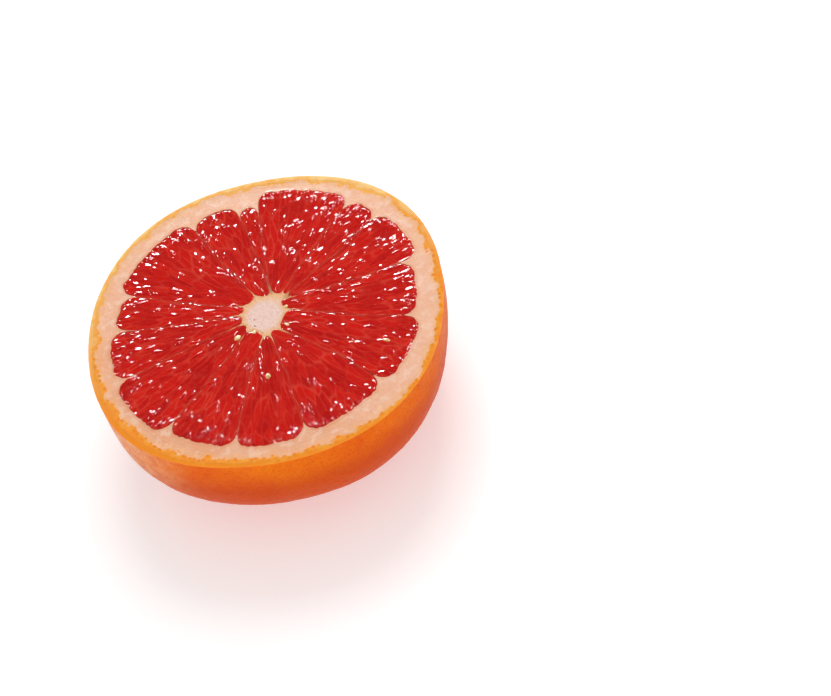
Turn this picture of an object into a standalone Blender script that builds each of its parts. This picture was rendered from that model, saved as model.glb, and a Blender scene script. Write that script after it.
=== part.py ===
"""A red grapefruit half, cut across the middle and lying cut face up.

The rind is one grown body: the peel, the pith, the membranes between the segments and the
core. It has fourteen pockets, and each pocket holds one wedge of pulp, a solid of its own.

Everything is first shaped in the fruit's own frame, with the cut face at height zero and the
middle of the rim at the origin. At the end it is moved up onto its flat spot, so that the
origin is below the middle of the fruit, on the surface that it rests on.
"""

import math
import random
from collections import namedtuple

import bmesh
import bpy
from mathutils import Vector

MM = 0.001

# Outside of the fruit
RIM_RADIUS = 55.2 * MM
BOWL_DEPTH = 43.0 * MM
BOWL_FULLNESS = 2.8
POLE_SHIFT = -2.0 * MM
FLAT_SPOT_RISE = 0.15 * MM
FOOT_LEVEL = FLAT_SPOT_RISE - BOWL_DEPTH
RIPPLE_HEIGHT = 0.16 * MM
FINE_RIPPLE_SHARE = 0.6
# Each wave of the rim: how many crests it has, its height and the direction of one crest
RIM_WAVES = (
    (2, 0.26 * MM, math.radians(-62.9)),
    (3, 0.13 * MM, math.radians(38.5)),
    (4, 0.93 * MM, math.radians(27.5)),
)
BOWL_SECTORS = 84
BOWL_RINGS = 14
FOOT_FLATNESS = math.radians(0.2)
SHARPEST_SMOOTH_EDGE = math.radians(35.0)

# Pulp and the membranes that part it
PULP_DEPTH = 34.5 * MM
MEMBRANE_THICKNESS = 0.7 * MM
GAP = 0.3 * MM
CORNER_RADIUS = 3.6 * MM
LARGEST_CORNER_SHARE = 0.48
NARROWEST_TIP = 1.0 * MM
TIP_STEP = 0.25 * MM
LEVELS = 5
LOWEST_TILT = math.radians(80.0)
SHORTEST_FLOOR = 3.0 * MM
FLATNESS = math.radians(0.3)
POCKET_OVERSHOOT = 2.0 * MM

# Relief of the cut pulp
EDGE_DROP = 0.5 * MM
DOME_HEIGHT = 0.5 * MM
SAC_HEIGHT = 0.7 * MM
LOWEST_SWELL, HIGHEST_SWELL = 0.7, 1.2
SAC_WIDTH = 4.2 * MM
SAC_ROWS = 4
FULL_SAC_WIDTH = 3.0 * MM
VALLEY_SHARE = 0.35
FEWEST_SACS, MOST_SACS = 2, 7
FEWEST_ROWS = 6
ROW_LENGTH = 2.7 * MM
SEED_OF_CHANCE = 11

# A membrane is a straight wall between these two distances from the middle
CORE_REACH = 8.0 * MM
PITH_REACH = 45.0 * MM

# Degrees anticlockwise from +X of each membrane's end at the pith and its end at the core
MEMBRANES = (
    (25.3, 31.0),
    (39.0, 39.0),
    (75.5, 57.0),
    (84.4, 58.0),
    (102.7, 91.0),
    (141.4, 125.5),
    (158.9, 150.0),
    (183.0, 178.0),
    (213.8, 206.0),
    (241.9, 248.0),
    (268.0, 266.0),
    (301.0, 290.0),
    (331.2, 351.0),
    (358.5, 383.7),
)

# Millimetres from the middle to each segment's outer crest and to its tip at the core
SEGMENT_ENDS = (
    (47.9, 9.0),
    (48.8, 8.6),
    (43.8, 9.0),
    (46.8, 7.6),
    (48.8, 7.4),
    (46.4, 7.3),
    (47.3, 6.8),
    (48.4, 6.2),
    (46.8, 5.8),
    (47.2, 6.8),
    (47.0, 6.2),
    (47.9, 5.6),
    (45.8, 6.0),
    (48.7, 9.0),
)

# Undeveloped seeds: segment number, distance from the middle, direction, length and width
SEEDS = (
    (8, 11.0 * MM, math.radians(196.0), 2.2 * MM, 1.7 * MM),
    (10, 22.7 * MM, math.radians(255.2), 2.3 * MM, 1.9 * MM),
    (12, 39.7 * MM, math.radians(318.0), 3.2 * MM, 1.7 * MM),
    (12, 10.5 * MM, math.radians(310.0), 2.2 * MM, 1.5 * MM),
)
SEED_SECTORS = 8
SEED_RINGS = 6

PEEL_COLOUR = (0.83, 0.30, 0.035, 1.0)
PEEL_ROUGHNESS = 0.45
PULP_COLOUR = (0.55, 0.012, 0.008, 1.0)
PULP_ROUGHNESS = 0.25

Segment = namedtuple("Segment", "left right crest tip")


# Plain helpers

def clear_scene():
    """Remove what the file opened with."""
    for thing in list(bpy.data.objects):
        bpy.data.objects.remove(thing)


def new_collection(name):
    """A collection linked to the scene."""
    collection = bpy.data.collections.new(name)
    bpy.context.scene.collection.children.link(collection)
    return collection


def new_material(name, colour, roughness):
    """One plain surface."""
    material = bpy.data.materials.new(name)
    material.use_nodes = True
    shader = material.node_tree.nodes["Principled BSDF"]
    shader.inputs["Base Color"].default_value = colour
    shader.inputs["Roughness"].default_value = roughness
    shader.inputs["Metallic"].default_value = 0.0
    return material


def new_object(name, shape, collection, material=None):
    """Turn a bmesh into a named object."""
    mesh = bpy.data.meshes.new(name)
    bmesh.ops.recalc_face_normals(shape, faces=shape.faces)
    shape.to_mesh(mesh)
    shape.free()
    if material:
        mesh.materials.append(material)
    thing = bpy.data.objects.new(name, mesh)
    collection.objects.link(thing)
    return thing


def superellipse(tilt):
    """Shares of the full radius and of the full depth, at a tilt below the cut face."""
    power = 2.0 / BOWL_FULLNESS
    return max(math.cos(tilt), 0.0) ** power, max(math.sin(tilt), 0.0) ** power


def sheared(x, y, z):
    """The fruit leans a little, so its far end isn't right below the middle of the rim."""
    return Vector((x + POLE_SHIFT * max(-z, 0.0) / BOWL_DEPTH, y, z))


# Outside

def rim_radius(angle):
    """The rim is nearly round, with a few low waves."""
    waves = (height * math.cos(crests * (angle - peak)) for crests, height, peak in RIM_WAVES)
    return RIM_RADIUS + sum(waves)


def ripple(angle, tilt):
    """Low lumps of the peel, which fade out at the far end."""
    broad = math.sin(7 * angle + 1.1) * math.sin(6 * tilt + 0.4)
    fine = math.sin(13 * angle + 2.3) * math.cos(10 * tilt + 1.9)
    return RIPPLE_HEIGHT * (broad + FINE_RIPPLE_SHARE * fine) * math.cos(tilt)


def bowl_point(direction):
    """Where a point of the unit sphere's lower half goes on the peel."""
    angle = math.atan2(direction.y, direction.x)
    tilt = math.asin(min(max(-direction.z, 0.0), 1.0))
    wide, deep = superellipse(tilt)
    radius = rim_radius(angle) * wide + ripple(angle, tilt)
    height = max(-BOWL_DEPTH * deep, FOOT_LEVEL)
    return sheared(radius * math.cos(angle), radius * math.sin(angle), height)


def make_bowl(collection, material):
    """The whole outside, flat on top: the lower half of a sphere, warped."""
    shape = bmesh.new()
    bmesh.ops.create_uvsphere(shape, u_segments=BOWL_SECTORS, v_segments=BOWL_RINGS * 2, radius=1.0)
    upper = [vertex for vertex in shape.verts if vertex.co.z > 0.001]
    bmesh.ops.delete(shape, geom=upper, context="VERTS")
    for vertex in shape.verts:
        vertex.co = bowl_point(vertex.co)
    rim = [edge for edge in shape.edges if edge.is_boundary]
    bmesh.ops.holes_fill(shape, edges=rim)
    foot = [vertex for vertex in shape.verts if vertex.co.z < FOOT_LEVEL + 0.01 * MM]
    foot_edges = [edge for edge in shape.edges if edge.verts[0] in foot and edge.verts[1] in foot]
    bmesh.ops.dissolve_limit(shape, angle_limit=FOOT_FLATNESS, verts=foot, edges=foot_edges)
    return new_object("rind", shape, collection, material)


# Segments and pockets

def list_segments():
    """Pair each membrane with the next one round."""
    first = tuple(angle + 360.0 for angle in MEMBRANES[0])
    rights = MEMBRANES[1:] + (first,)
    segments = []
    for left, right, (crest, tip) in zip(MEMBRANES, rights, SEGMENT_ENDS):
        segments.append(with_room_at_tip(Segment(left, right, crest * MM, tip * MM)))
    return segments


def with_room_at_tip(segment):
    """Where two membranes run close together near the core, the pulp starts further out."""
    tip = segment.tip
    while clear_width(segment, tip) < NARROWEST_TIP:
        tip += TIP_STEP
    return segment._replace(tip=tip)


def clear_width(segment, radius):
    """Room for pulp across a segment at a distance from the middle."""
    left, right = side_angles(segment, radius, MEMBRANE_THICKNESS / 2 + GAP)
    return (right - left) * radius


def membrane_angle(membrane, radius, inset):
    """Direction of a membrane's face where it crosses a circle round the middle.

    The face stands off the membrane's middle line by the inset, to the left of the outward
    way when the inset is positive.
    """
    at_pith, at_core = (math.radians(angle) for angle in membrane)
    near, far = plan_vector(CORE_REACH, at_core), plan_vector(PITH_REACH, at_pith)
    way = (far - near).normalized()
    start = near + Vector((-way.y, way.x)) * inset
    closest = start.dot(way)
    place = start + way * (math.sqrt(radius ** 2 - start.length_squared + closest ** 2) - closest)
    turn = math.atan2(place.y, place.x) - at_pith
    return at_pith + math.remainder(turn, 2.0 * math.pi)


def plan_vector(radius, angle):
    """A place on the cut face."""
    return Vector((radius * math.cos(angle), radius * math.sin(angle)))


def side_angles(segment, radius, inset):
    """Directions of both sides of a wedge, kept off the membranes' middles by the inset."""
    return membrane_angle(segment.left, radius, inset), membrane_angle(segment.right, radius, -inset)


def corner_drop(distance, corner):
    """How far a round corner falls back at a distance from the side."""
    if distance >= corner:
        return 0.0
    return corner - math.sqrt(corner ** 2 - (corner - distance) ** 2)


def wedge_place(segment, across, along, tilt, grow):
    """Radius and direction in a wedge that is grown by an equal amount on every side."""
    inset = MEMBRANE_THICKNESS / 2 + GAP - grow
    tip, crest = segment.tip - grow, segment.crest + grow
    ends = []
    for radius in (tip, crest):
        left, right = side_angles(segment, radius, inset)
        width = (right - left) * radius
        corner = min(CORNER_RADIUS, LARGEST_CORNER_SHARE * width)
        ends.append(corner_drop(min(across, 1.0 - across) * width, corner))
    inner, outer = tip + ends[0], crest - ends[1]
    reach = (crest * superellipse(tilt)[0] - tip) / (crest - tip)
    radius = inner + (outer - inner) * reach * along
    left, right = side_angles(segment, radius, inset)
    return radius, left + (right - left) * across


def subdivided_box(columns, rows, levels):
    """A unit box whose faces are grids, made from a cube by cutting its edges."""
    shape = bmesh.new()
    bmesh.ops.create_cube(shape, size=1.0)
    bmesh.ops.translate(shape, verts=shape.verts, vec=(0.5, 0.5, 0.5))
    for axis, count in enumerate((columns, rows, levels)):
        spans = [(edge, edge.verts[0].co - edge.verts[1].co) for edge in shape.edges]
        along_axis = [edge for edge, span in spans if abs(span[axis]) > 0.5]
        bmesh.ops.subdivide_edges(shape, edges=along_axis, cuts=count - 1, use_grid_fill=True)
    return shape


def level_tilts(segment):
    """Tilts of a wedge's levels, down to where its floor is about to close at the tip."""
    shortest = (segment.tip + SHORTEST_FLOOR) / segment.crest
    lowest = min(LOWEST_TILT, math.acos(shortest ** (BOWL_FULLNESS / 2.0)))
    return tuple(lowest * level / LEVELS for level in range(LEVELS + 1))


def column_count(segment):
    """Two columns for each row of juice sacs that fits side by side at the outer end."""
    width = clear_width(segment, segment.crest)
    return 2 * max(FEWEST_SACS, min(MOST_SACS, round(width / SAC_WIDTH)))


def row_count(segment):
    """Rows from the tip to the outer end."""
    return max(FEWEST_ROWS, round((segment.crest - segment.tip) / ROW_LENGTH))


def relief_heights(segment, columns, rows, chance):
    """Height of the cut pulp at each place of its grid: a low dome with staggered sacs."""
    heights = {}
    for column in range(columns + 1):
        phase = chance.uniform(0.0, 2.0 * math.pi)
        for row in range(rows + 1):
            if column in (0, columns) or row in (0, rows):
                heights[column, row] = -EDGE_DROP
                continue
            radius = segment.tip + (segment.crest - segment.tip) * row / rows
            sac_width = clear_width(segment, radius) / (columns / 2)
            spread = 1.0 - (2.0 * column / columns - 1.0) ** 4
            sac = 0.5 + 0.5 * math.cos(2.0 * math.pi * row / SAC_ROWS + phase)
            ridge = sac if column % 2 else -VALLEY_SHARE
            swell = SAC_HEIGHT * min(1.0, sac_width / FULL_SAC_WIDTH)
            swell *= chance.uniform(LOWEST_SWELL, HIGHEST_SWELL)
            heights[column, row] = DOME_HEIGHT * (spread - 1.0) + swell * ridge
    return heights


def shape_wedge(segment, grow, heights=None):
    """Warp a subdivided box into a wedge. Without heights it is a cutter that rises past the cut."""
    columns, rows = column_count(segment), row_count(segment)
    tilts = level_tilts(segment) if heights else (0.0,) + level_tilts(segment)
    shape = subdivided_box(columns, rows, len(tilts) - 1)
    places = {}
    for vertex in shape.verts:
        column = round(vertex.co.x * columns)
        row = round(vertex.co.y * rows)
        level = round((1.0 - vertex.co.z) * (len(tilts) - 1))
        places[vertex] = (column, row, level)
        across = 0.5 - 0.5 * math.cos(math.pi * column / columns)
        radius, angle = wedge_place(segment, across, row / rows, tilts[level], grow)
        height = -(PULP_DEPTH + grow) * superellipse(tilts[level])[1]
        if level == 0:
            height = heights[column, row] if heights else POCKET_OVERSHOOT
        vertex.co = sheared(radius * math.cos(angle), radius * math.sin(angle), height)
    simplify_walls(shape, places)
    return shape


def simplify_walls(shape, places):
    """Split every wall face along the same diagonal, then join those of the flat walls.

    A pocket and its segment are split alike, so the gap between them stays even.
    """
    outermost = max(row for column, row, level in places.values())
    walls = [face for face in shape.faces if any(places[vertex][2] for vertex in face.verts)]
    for face in walls:
        first = min(face.verts, key=lambda vertex: sum(places[vertex]))
        last = max(face.verts, key=lambda vertex: sum(places[vertex]))
        bmesh.utils.face_split(face, first, last)
    flat = [edge for edge in shape.edges if is_inside_flat_wall(edge, places, outermost)]
    low = [vertex for vertex in shape.verts if places[vertex][2] and places[vertex][1] < outermost]
    bmesh.ops.dissolve_limit(shape, angle_limit=FLATNESS, verts=low, edges=flat)
    bmesh.ops.triangulate(shape, faces=shape.faces)


def is_inside_flat_wall(edge, places, outermost):
    """Whether an edge is off both the relief and the round outer wall."""
    ends = [places[vertex] for vertex in edge.verts]
    on_top = all(level == 0 for column, row, level in ends)
    on_outer_wall = all(row == outermost for column, row, level in ends)
    return not on_top and not on_outer_wall


def make_pockets(segments, collection):
    """The cutters, each a little larger than its segment."""
    for number, segment in enumerate(segments, start=1):
        cutter = new_object(f"pocket_{number:02d}", shape_wedge(segment, GAP), collection)
        cutter.hide_render = True
        cutter.display_type = "WIRE"


def make_segments(segments, collection, material):
    """The wedges of pulp, with their relief."""
    chance = random.Random(SEED_OF_CHANCE)
    for number, segment in enumerate(segments, start=1):
        heights = relief_heights(segment, column_count(segment), row_count(segment), chance)
        new_object(f"segment_{number:02d}", shape_wedge(segment, 0.0, heights), collection, material)


# Seeds

def make_seed(name, distance, angle, length, width, collection):
    """A small egg, half sunk in the pulp, its long side pointing outwards."""
    shape = bmesh.new()
    bmesh.ops.create_uvsphere(shape, u_segments=SEED_SECTORS, v_segments=SEED_RINGS, radius=0.5)
    bmesh.ops.scale(shape, verts=shape.verts, vec=(length, width, width))
    seed = new_object(name, shape, collection)
    seed.location = (distance * math.cos(angle), distance * math.sin(angle), 0.0)
    seed.rotation_euler.z = angle
    return seed


def fuse(target, collection):
    """Join a collection's objects into one object, then remove them."""
    union = target.modifiers.new("fuse", "BOOLEAN")
    union.operation = "UNION"
    union.solver = "EXACT"
    union.operand_type = "COLLECTION"
    union.collection = collection
    depsgraph = bpy.context.evaluated_depsgraph_get()
    joined = bpy.data.meshes.new_from_object(target.evaluated_get(depsgraph))
    target.modifiers.remove(union)
    target.data = joined
    for thing in list(collection.objects):
        bpy.data.objects.remove(thing)


def add_seeds(collection):
    """Fuse each undeveloped seed with the segment that it grew in."""
    for number in sorted({seed[0] for seed in SEEDS}):
        for index, (owner, distance, angle, length, width) in enumerate(SEEDS):
            if owner == number:
                make_seed(f"seed_{index}", distance, angle, length, width, collection)
        fuse(bpy.data.objects[f"segment_{number:02d}"], collection)


# Finish

def cut_pockets(rind, pockets):
    """Take the pockets out of the rind."""
    cut = rind.modifiers.new("pockets", "BOOLEAN")
    cut.operation = "DIFFERENCE"
    cut.solver = "EXACT"
    cut.operand_type = "COLLECTION"
    cut.collection = pockets


def stand_on_flat_spot(rind):
    """Move everything so that the origin is below the middle of the fruit, at its foot."""
    corners = [Vector(corner) for corner in rind.bound_box]
    low = Vector(min(corner[axis] for corner in corners) for axis in range(3))
    high = Vector(max(corner[axis] for corner in corners) for axis in range(3))
    move = Vector((-(low.x + high.x) / 2, -(low.y + high.y) / 2, -low.z))
    for thing in bpy.data.objects:
        thing.location += move


def main():
    clear_scene()
    fruit = new_collection("grapefruit_half")
    cutters = new_collection("cutters")
    seeds = new_collection("seeds")
    peel = new_material("peel", PEEL_COLOUR, PEEL_ROUGHNESS)
    pulp = new_material("pulp", PULP_COLOUR, PULP_ROUGHNESS)
    segments = list_segments()
    rind = make_bowl(fruit, peel)
    make_pockets(segments, cutters)
    make_segments(segments, fruit, pulp)
    add_seeds(seeds)
    cut_pockets(rind, cutters)
    stand_on_flat_spot(rind)
    for thing in fruit.objects:
        thing.data.shade_smooth()
        thing.data.set_sharp_from_angle(angle=SHARPEST_SMOOTH_EDGE)


main()
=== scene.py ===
"""The looks of a red grapefruit half that lies cut face up.

Everything is shaped in the fruit's own frame, with the cut face at height zero and the middle
of the rim at the origin. It is moved to its place above the flat spot at the end.
"""

import math
import random

import bpy
import numpy as np
from mathutils import Matrix, Vector, noise


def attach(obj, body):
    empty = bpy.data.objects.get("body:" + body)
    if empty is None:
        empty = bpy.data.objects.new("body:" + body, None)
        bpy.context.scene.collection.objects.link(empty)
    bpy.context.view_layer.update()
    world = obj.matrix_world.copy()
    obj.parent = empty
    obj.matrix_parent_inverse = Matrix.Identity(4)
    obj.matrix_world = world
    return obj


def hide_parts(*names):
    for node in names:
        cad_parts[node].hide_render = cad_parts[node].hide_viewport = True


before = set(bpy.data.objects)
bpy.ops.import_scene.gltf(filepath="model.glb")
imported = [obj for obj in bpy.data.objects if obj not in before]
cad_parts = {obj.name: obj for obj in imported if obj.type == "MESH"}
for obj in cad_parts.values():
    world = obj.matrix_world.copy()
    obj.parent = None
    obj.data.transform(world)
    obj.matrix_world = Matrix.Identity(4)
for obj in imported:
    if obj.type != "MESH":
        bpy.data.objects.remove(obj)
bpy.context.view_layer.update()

MM = 0.001
DEGREE = math.pi / 180.0

# Outside of the fruit
RIM_RADIUS = 55.2 * MM
BOWL_DEPTH = 43.0 * MM
BOWL_FULLNESS = 2.8
POLE_SHIFT = -2.0 * MM
FLAT_SPOT_RISE = 0.15 * MM
SKIN_CLEARANCE = 0.05 * MM
OUTLINE_STEPS = 2001

# Waves round the rim: crests, height and the direction of one crest
RIM_WAVES = (
    (2, 0.26 * MM, -62.9 * DEGREE),
    (3, 0.13 * MM, 38.5 * DEGREE),
    (4, 0.93 * MM, 27.5 * DEGREE),
)

# Low lumps of the peel: crests round the rim and down the side, each with its start
RIPPLE_HEIGHT = 0.16 * MM
FINE_RIPPLE_SHARE = 0.6
BROAD_RIPPLE = (7, 1.1, 6, 0.4)
FINE_RIPPLE = (13, 2.3, 10, 1.9)
LUMP_SIZE = 5.0 * MM
LUMP_HEIGHT = 0.22 * MM
DIMPLE_SIZE = 1.7 * MM
DIMPLE_DEPTH = 0.12 * MM

# The scar of the flower at the far end lies in a shallow hollow
SCAR_FLOOR_REACH = 2.0 * MM
SCAR_REACH = 3.4 * MM
SCAR_DEPTH = 0.35 * MM

# How far the orange colour reaches inwards on the cut, in millimetres
ZEST_DEPTH = 2.4
ZEST_WAVES = (
    (1, 0.5, 215.0 * DEGREE),
    (2, 0.6, 212.0 * DEGREE),
    (9, 0.25, 3.634 * DEGREE),
    (23, 0.2, 3.913 * DEGREE),
)

# Where the middle of the rim is above the flat spot
RIM_MIDDLE = Vector((0.024, 0.093, 42.85)) * MM

# Layers
PEEL_THICKNESS = 1.7 * MM
PITH_HOLLOW = 0.22 * MM
PULP_DEPTH = 34.5 * MM
SHARPEST_SMOOTH_EDGE = 62.0 * DEGREE

# Meshes of peel and pith: columns round the fruit, and rings up the outside, over the cut
# and down the inside
PEEL_COLUMNS = 540
PEEL_RINGS = (120, 4, 14)
PITH_COLUMNS = 900
PITH_RINGS = (10, 24, 12)

# Core
CORE_COLUMNS = 240
CORE_ROWS = 60
CORE_PLAIN_RADIUS = 4.8 * MM
CORE_PLAIN_SHARE = 0.7
CORE_OVERLAP = 0.15 * MM
CORE_BELOW_PULP = 1.0 * MM
CORE_SUNK = 0.15 * MM
CORE_GRAIN_HEIGHT = 0.1 * MM
CORE_EDGE_DROP = 0.1 * MM
LONGEST_SPIKE = 10.5 * MM

# Membranes
MEMBRANE_THICKNESS = 0.3 * MM
SEAM_THICKNESS = 0.7 * MM
MEMBRANE_START = 6.3 * MM
CORE_REACH = 8.0 * MM
PITH_REACH = 45.0 * MM
MEMBRANE_WAVE = 0.22 * MM
MEMBRANE_SWAY = 0.05 * MM
SHEET_COLUMNS = 90
SHEET_ROWS = 5
SHEET_FLOOR_REACH = 1.4 * MM
LOWEST_SHEET = 1.5 * MM
TOP_RIPPLE = 0.05 * MM
TOP_SUNK = 0.04 * MM
END_SUNK = 0.8 * MM
START_FADE = 2.6 * MM

# Segments
PULP_INSET = 0.08 * MM
CORNER_RADIUS = 4.6 * MM
LARGEST_CORNER_SHARE = 0.48
SHORTEST_FLOOR = 3.0 * MM
LOWEST_TILT = 80.0 * DEGREE
END_STEPS = 121
SCALLOP_WIDTH = 2.9
SCALLOP_HEIGHT = 0.3 * MM
SCALLOP_SUNK = 0.2 * MM
SCALLOP_SWELL = 0.14 * MM
GRID_STEP = 0.26 * MM
FEWEST_COLUMNS = 12
WALL_LEVELS = 6

# Relief of the cut pulp
CROWN_HEIGHT = 0.15 * MM
CROWN_REACH = 5.0 * MM
CROWN_SUNK_SHARE = 0.4
WOBBLE_HEIGHT = 0.12 * MM
WOBBLE_SCALE = 0.45
SIDE_DROP = 0.05 * MM
SIDE_REACH = 0.5 * MM
END_DROP = 0.28 * MM
END_REACH = 1.0 * MM
BORDER_REACH = 0.9 * MM
TALLEST_RELIEF = 0.85 * MM

# Juice sacs: long by the core, short and round at the pith
SAC_WIDTH = 2.3 * MM
LONG_SAC = 4.8
SHORT_SAC = 2.4
SHORT_SACS_START = 11.0 * MM
SHORT_SACS_FADE = 9.0 * MM
SAC_RISE = 0.2 * MM
SAC_RISE_WIDTH = 1.5 * MM
SAC_EDGE_WIDTH = 0.42 * MM
SLOPE_ALONG = 0.02
SLOPE_ASIDE = 0.06

# Columns of the table of juice sacs
X, Y, HEADING, STRETCH, RAISED, TILT_ALONG, TILT_ASIDE, TONE, NEAR_END, TO_SIDE = range(10)

# Ridges and plump ends that catch the light: least and most length, width and height in mm
RIDGE_SIZES = ((1.0, 2.4), (0.44, 0.78), (0.16, 0.42))
PLUMP_SIZES = ((1.4, 2.6), (1.0, 1.6), (0.24, 0.46))
RIDGE_SHARE = 0.24
RIDGE_SHARE_NEAR_END = 0.18
RIDGE_SHARE_BY_WALL = 0.34
BY_WALL_REACH = 1.6 * MM
PLUMP_SHARE_NEAR_END = 0.34
PLUMP_SHARE_ABOVE = 0.36

# Each membrane: degrees at the pith and at the core, and how far it bows to the left
MEMBRANES = (
    (25.3, 31.0, -0.6 * MM),
    (39.0, 39.0, 0.4 * MM),
    (75.5, 57.0, 0.5 * MM),
    (84.4, 58.0, -0.5 * MM),
    (102.7, 91.0, 0.5 * MM),
    (141.4, 125.5, 0.8 * MM),
    (158.9, 150.0, 0.5 * MM),
    (183.0, 178.0, -0.5 * MM),
    (213.8, 206.0, 0.6 * MM),
    (241.9, 248.0, -0.6 * MM),
    (268.0, 266.0, 0.3 * MM),
    (301.0, 290.0, 1.2 * MM),
    (331.2, 351.0, -0.8 * MM),
    (358.5, 383.7, -0.8 * MM),
)

# Millimetres from the middle to each segment's outer crest and to its tip at the core
SEGMENT_ENDS = (
    (47.9, 9.4),
    (48.8, 8.6),
    (43.8, 15.0),
    (46.8, 7.6),
    (48.8, 7.4),
    (46.4, 7.3),
    (47.3, 6.8),
    (48.4, 6.2),
    (46.8, 5.8),
    (47.2, 7.8),
    (47.0, 6.45),
    (47.9, 5.6),
    (45.8, 6.0),
    (48.7, 9.8),
)

# Undeveloped seeds: distance from the middle, direction, length, width and height of the middle
SEEDS = (
    (10.6, 202.2, 2.3, 1.8, 0.0),
    (6.4, 223.0, 1.6, 1.3, -0.1),
    (22.7, 255.2, 2.2, 1.8, 0.0),
    (39.7, 318.0, 3.1, 1.6, -0.1),
    (8.0, 308.4, 2.2, 1.4, -0.2),
    (6.8, 2.5, 1.5, 1.1, -0.1),
)
SEED_TAPER = 0.66
SEED_FLATNESS = 0.6

# Soft boxes: direction, distance, size, watts, and whether they light or glint
SOFT_BOXES = (
    ("key", (0.25, 0.45, 0.85), 0.9, 0.5, 3.5, "light"),
    ("fill", (-0.25, -1.0, 0.3), 1.0, 0.8, 1.2, "light"),
    ("glint_behind", (0.1, 0.92, 0.36), 0.9, 0.23, 7.0, "glint"),
    ("glint_right", (0.62, 0.6, 0.5), 0.9, 0.12, 2.4, "glint"),
    ("glint_left", (-0.55, 0.6, 0.6), 0.9, 0.1, 2.0, "glint"),
    ("glint_above", (0.36, 0.22, 0.9), 0.9, 0.11, 2.0, "glint"),
    ("glint_front", (-0.2, -0.9, 0.42), 0.9, 0.23, 6.0, "glint"),
    ("glint_far_right", (0.9, -0.25, 0.42), 0.9, 0.18, 4.0, "glint"),
    ("glint_far_left", (-0.9, -0.2, 0.42), 0.9, 0.18, 4.0, "glint"),
)
ROOM_LIGHT = 0.6
ROOM_LIGHT_IN_GLOSS = 0.2
FLOOR_SIZE = 6.0

# Camera, fitted to the rim and to the outline of the bowl
LENS = 100.68
SENSOR_WIDTH = 36.0
CAMERA_PLACE = Vector((0.0, -454.55, 515.79)) * MM
CAMERA_RIGHT = Vector((0.92161276, -0.32991884, -0.20441009))
CAMERA_UP = Vector((0.38426785, 0.70174026, 0.59991569))

# Kinds of node sockets
NUMBER, COLOUR, ARROW = "NodeSocketFloat", "NodeSocketColor", "NodeSocketVector"


# Colours and small tools

def seen(red, green, blue):
    """A colour given as it looks on a screen, from 0 to 255."""
    channels = (value / 255.0 for value in (red, green, blue))
    return tuple(((value + 0.055) / 1.055) ** 2.4 for value in channels) + (1.0,)


def deselect_all():
    """Nothing is selected, so that an operator acts on the new piece alone."""
    bpy.ops.object.select_all(action="DESELECT")


def read_places(thing):
    """The places of a mesh's vertices, one row each."""
    places = np.empty(len(thing.data.vertices) * 3)
    thing.data.vertices.foreach_get("co", places)
    return places.reshape(-1, 3)


def write_places(thing, places):
    """Put the vertices at these places."""
    thing.data.vertices.foreach_set("co", np.ascontiguousarray(places).ravel())
    thing.data.update()


def round_places(radius, angle, height):
    """Places given by their distance from the middle, direction and height."""
    return np.column_stack((radius * np.cos(angle), radius * np.sin(angle), height))


def store(thing, name, values):
    """Keep one number for each vertex, for the material to read."""
    layer = thing.data.attributes.new(name, "FLOAT", "POINT")
    layer.data.foreach_set("value", np.ascontiguousarray(values, dtype=np.float32))


def smooth_step(low, high, values):
    """Rises smoothly from 0 to 1 between two values."""
    share = np.clip((values - low) / (high - low), 0.0, 1.0)
    return share * share * (3.0 - 2.0 * share)


def waves(angle, rows):
    """The sum of low waves round the fruit."""
    return sum(height * np.cos(crests * (angle - peak)) for crests, height, peak in rows)


def two_waves(places, slow, fast, start, fast_start):
    """Two waves along a line, the fast one half as high."""
    return np.sin(places * slow + start) + 0.5 * np.sin(places * fast + fast_start)


def noise_at(x, y):
    """A spongy unevenness with a grain of about a millimetre."""
    place = Vector((x, y, 0.0)) / MM
    return noise.noise(place * 0.9) + 0.5 * noise.noise(place * 2.1)


def press_in(thing, texture, depth):
    """Press the surface in along its normals by a texture, and keep the result."""
    push = thing.modifiers.new("push", "DISPLACE")
    push.texture = texture
    push.texture_coords = "LOCAL"
    push.strength = depth
    push.mid_level = 1.0
    bpy.context.view_layer.objects.active = thing
    bpy.ops.object.modifier_apply(modifier=push.name)


def new_texture(name, kind, size):
    """A texture for shaping surfaces."""
    texture = bpy.data.textures.new(name, type=kind)
    texture.noise_scale = size
    return texture


def join_pieces(pieces, name):
    """Make one piece of several."""
    deselect_all()
    for piece in pieces:
        piece.select_set(True)
    bpy.context.view_layer.objects.active = pieces[0]
    bpy.ops.object.join()
    pieces[0].name = name
    return pieces[0]


def finish_piece(thing, node_names, slot, *materials):
    """Move a piece to its place, give it its materials and hang it on the frame."""
    thing.data.transform(Matrix.Translation(RIM_MIDDLE))
    thing.data.shade_smooth()
    thing.data.set_sharp_from_angle(angle=SHARPEST_SMOOTH_EDGE)
    for material in materials:
        thing.data.materials.append(material)
    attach(thing, "root")
    if node_names:
        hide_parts(*node_names)


# Shape of the bowl

def superellipse(tilt):
    """Shares of the full radius and of the full depth, at a tilt below the cut face."""
    power = 2.0 / BOWL_FULLNESS
    return np.maximum(np.cos(tilt), 0.0) ** power, np.maximum(np.sin(tilt), 0.0) ** power


def even_tilt(share):
    """The tilt at a share of the way down the bowl's outline, measured along the outline."""
    tilts = np.linspace(0.0, math.pi / 2.0, OUTLINE_STEPS)
    wide, deep = superellipse(tilts)
    steps = np.hypot(np.diff(wide) * RIM_RADIUS, np.diff(deep) * BOWL_DEPTH)
    way = np.concatenate(([0.0], np.cumsum(steps)))
    return np.interp(share, way / way[-1], tilts)


def rim_radius(angle):
    """The rim is nearly round, with a few low waves."""
    return RIM_RADIUS - SKIN_CLEARANCE + waves(angle, RIM_WAVES)


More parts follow.
